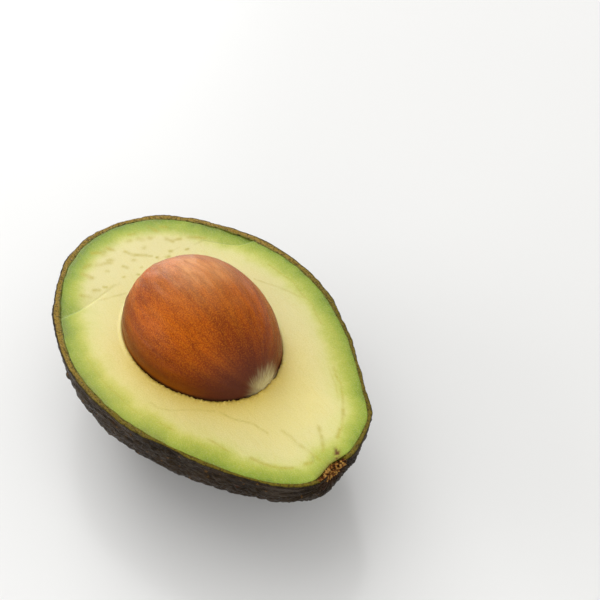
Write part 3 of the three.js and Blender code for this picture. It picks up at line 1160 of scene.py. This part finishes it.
class SkinLook(bpy.types.PropertyGroup):
    """Sizes and colours of the skin."""

    blunt_thickness: size("Thickness at blunt end", "Skin thickness on the cut at the blunt end", 0.0018)
    near_thickness: size("Thickness near stem, -Y", "Skin thickness towards the stem on the -Y side", 0.00095)
    far_thickness: size("Thickness near stem, +Y", "Skin thickness towards the stem on the +Y side", 0.00115)
    pebble_height: size("Pebbles", "Height of the small pebbles", 0.0004)
    wrinkle_height: size("Wrinkles", "Height of the lengthwise wrinkles", 0.00038)
    swell_height: size("Swells", "Height of the broad swells", 0.0005)
    dark_color: tint("Dark", "The darkest skin", (0.022, 0.013, 0.007))
    brown_color: tint("Brown", "The browner patches", (0.05, 0.028, 0.013))
    # Greyish pebble tops, partly a painted highlight.
    bloom_and_highlight_color: tint("Bloom", "The greyish tops of the pebbles", (0.08, 0.056, 0.036))
    speck_color: tint("Specks", "The small cork specks", (0.26, 0.125, 0.03))
    rim_color: tint("Cut edge", "The cut edge of the skin at the blunt end", (0.6, 0.385, 0.055))
    olive_color: tint("Cut edge near stem", "The cut edge of the skin towards the stem", (0.27, 0.215, 0.012))
    stain_color: tint("Stem stain", "Brown stain round the stem's stub", (0.085, 0.03, 0.01))


class FleshLook(bpy.types.PropertyGroup):
    """Sizes and colours of the flesh."""

    skin_gap: size("Gap to the skin", "Gap between the flesh and the skin", 0.00002)
    pit_gap: size("Gap to the pit", "Widest gap between the flesh and the pit", 0.00022)
    ledge_height: size("Knife ledge", "Height of the ledge where the knife cuts meet", 0.0005)
    dot_count: IntProperty(
        name="Vein dots", description="Cut vein ends at the blunt end", default=34, min=0, max=60
    )
    edge_color: tint("Green edge", "Flesh against the skin", (0.17, 0.25, 0.02))
    middle_color: tint("Middle", "Flesh half way to the pit", (0.745, 0.72, 0.275))
    cream_color: tint("Cream", "Palest flesh, at the blunt end", (0.78, 0.705, 0.345))
    warm_color: tint("Beside the pit", "Flesh on the stem side of the pit", (0.78, 0.56, 0.08))
    vein_color: tint("Veins", "Veins that the cut laid bare", (0.46, 0.37, 0.002))


class PitLook(bpy.types.PropertyGroup):
    """Sizes and colours of the pit."""

    groove_depth: size("Grooves", "Depth of the lengthwise grooves", 0.00012)
    deep_color: tint("Deep", "Deeper brown patches", (0.25, 0.034, 0.0))
    bright_color: tint("Bright", "Brighter orange-brown patches", (0.5, 0.094, 0.0))
    vein_color: tint("Veins", "Thin dark veins", (0.13, 0.018, 0.001))
    # Paler scuffed skin with a painted highlight on the top.
    pale_highlight_color: tint("Pale top", "Paler, scuffed skin on the top", (0.86, 0.42, 0.15))
    # Painted shade low on the pit.
    low_color: tint("Low", "Darker brown low on the pit", (0.075, 0.008, 0.0))
    amber_color: tint("Low edge", "Amber tone low on the -Y side", (0.29, 0.08, 0.001))
    bruise_color: tint("Round the tip", "Purple-brown round the tip", (0.1, 0.027, 0.02))
    tuft_color: tint("Tip", "Pale flesh left on the tip", (0.66, 0.58, 0.3))


class StubLook(bpy.types.PropertyGroup):
    """Sizes and colours of the stem's stub."""

    roughness_height: size("Torn relief", "Height of the torn fibres", 0.0005)
    dark_color: tint("Dark", "Dark cork", (0.12, 0.035, 0.008))
    cork_color: tint("Cork", "Orange-brown cork", (0.37, 0.135, 0.022))


class StageLook(bpy.types.PropertyGroup):
    """The table, the lamps and the camera."""

    table_reach: size("Table reach", "From the middle of the table to its edge", 2.5)
    table_color: tint("Table", "The table top", (0.87, 0.87, 0.86))
    room_color: tint("Room", "The pale room around", (1.0, 0.995, 0.985))
    room_strength: number("Room light", "Strength of the room's light", 0.66, min=0)
    key_power: power("Window", "Power of the main soft lamp", 3.5)
    back_power: power("Back window", "Power of the low lamp behind", 6.8)
    fill_power: power("Side fill", "Power of the side lamp", 2.8)
    front_power: power("Front fill", "Power of the lamp in front", 0.8)
    azimuth: number("Azimuth", "Camera's turn round the fruit", math.radians(54), subtype="ANGLE")
    elevation: number("Elevation", "Camera's angle above the table", math.radians(46.2), subtype="ANGLE")
    distance: size("Distance", "From the camera to the point it looks at", 0.504)
    lens: number("Lens", "Focal length", 121.2, min=1, unit="CAMERA")
    aim_right: number(
        "Aim right", "The point looked at, to the camera's right", 0.0215, precision=5, unit="LENGTH"
    )
    aim_forward: number(
        "Aim away", "The point looked at, away from the camera", 0.0143, precision=5, unit="LENGTH"
    )


# ---- Operators and panel ----


class BuildSkin(bpy.types.Operator):
    """Build the pebbled skin"""

    bl_idname = "avocado.build_skin"
    bl_label = "Skin"

    def execute(self, context):
        look = context.scene.avocado_skin
        place(build_skin(look), "skin", "skin", skin_material(look))
        return {"FINISHED"}


class BuildFlesh(bpy.types.Operator):
    """Build the flesh with its cut face and hollow"""

    bl_idname = "avocado.build_flesh"
    bl_label = "Flesh"

    def execute(self, context):
        look = context.scene.avocado_flesh
        thickness = skin_thickness(context.scene.avocado_skin)
        place(build_flesh(look, thickness), "flesh", "flesh", flesh_material(look))
        return {"FINISHED"}


class BuildPit(bpy.types.Operator):
    """Build the pit"""

    bl_idname = "avocado.build_pit"
    bl_label = "Pit"

    def execute(self, context):
        look = context.scene.avocado_pit
        place(build_pit(look), "pit", "pit", pit_material(look))
        return {"FINISHED"}


class BuildStemStub(bpy.types.Operator):
    """Build the cork left by the stem"""

    bl_idname = "avocado.build_stem_stub"
    bl_label = "Stem stub"

    def execute(self, context):
        look = context.scene.avocado_stub
        place(build_stem_stub(look), "stem_stub", "stem_cork", stub_material(look))
        return {"FINISHED"}


class BuildStage(bpy.types.Operator):
    """Build the table, the lamps and the camera"""

    bl_idname = "avocado.build_stage"
    bl_label = "Table and light"

    def execute(self, context):
        build_stage(context.scene.avocado_stage)
        return {"FINISHED"}


OPERATORS = (BuildSkin, BuildFlesh, BuildPit, BuildStemStub, BuildStage)
LOOKS = {
    "avocado_skin": SkinLook,
    "avocado_flesh": FleshLook,
    "avocado_pit": PitLook,
    "avocado_stub": StubLook,
    "avocado_stage": StageLook,
}


class AvocadoPanel(bpy.types.Panel):
    """Lists each piece with its settings"""

    bl_idname = "VIEW3D_PT_avocado"
    bl_label = "Avocado Half"
    bl_space_type = "VIEW_3D"
    bl_region_type = "UI"
    bl_category = "Avocado"

    def draw(self, context):
        for operator, key in zip(OPERATORS, LOOKS):
            box = self.layout.box()
            box.operator(operator.bl_idname)
            look = getattr(context.scene, key)
            for setting in look.__annotations__:
                box.prop(look, setting)


def register():
    for cls in (*LOOKS.values(), *OPERATORS, AvocadoPanel):
        bpy.utils.register_class(cls)
    for key, cls in LOOKS.items():
        setattr(bpy.types.Scene, key, PointerProperty(type=cls))


def unregister():
    for key in LOOKS:
        delattr(bpy.types.Scene, key)
    for cls in (AvocadoPanel, *reversed(OPERATORS), *reversed(LOOKS.values())):
        bpy.utils.unregister_class(cls)


def main():
    register()
    for build in ("build_stage", "build_skin", "build_flesh", "build_pit", "build_stem_stub"):
        getattr(bpy.ops.avocado, build)()
    boxes = {"cad": CAD_BOX, "visual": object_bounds()}
    boxes = {key: [list(corner) for corner in box] for key, box in boxes.items()}


if __name__ == "__main__":
    main()
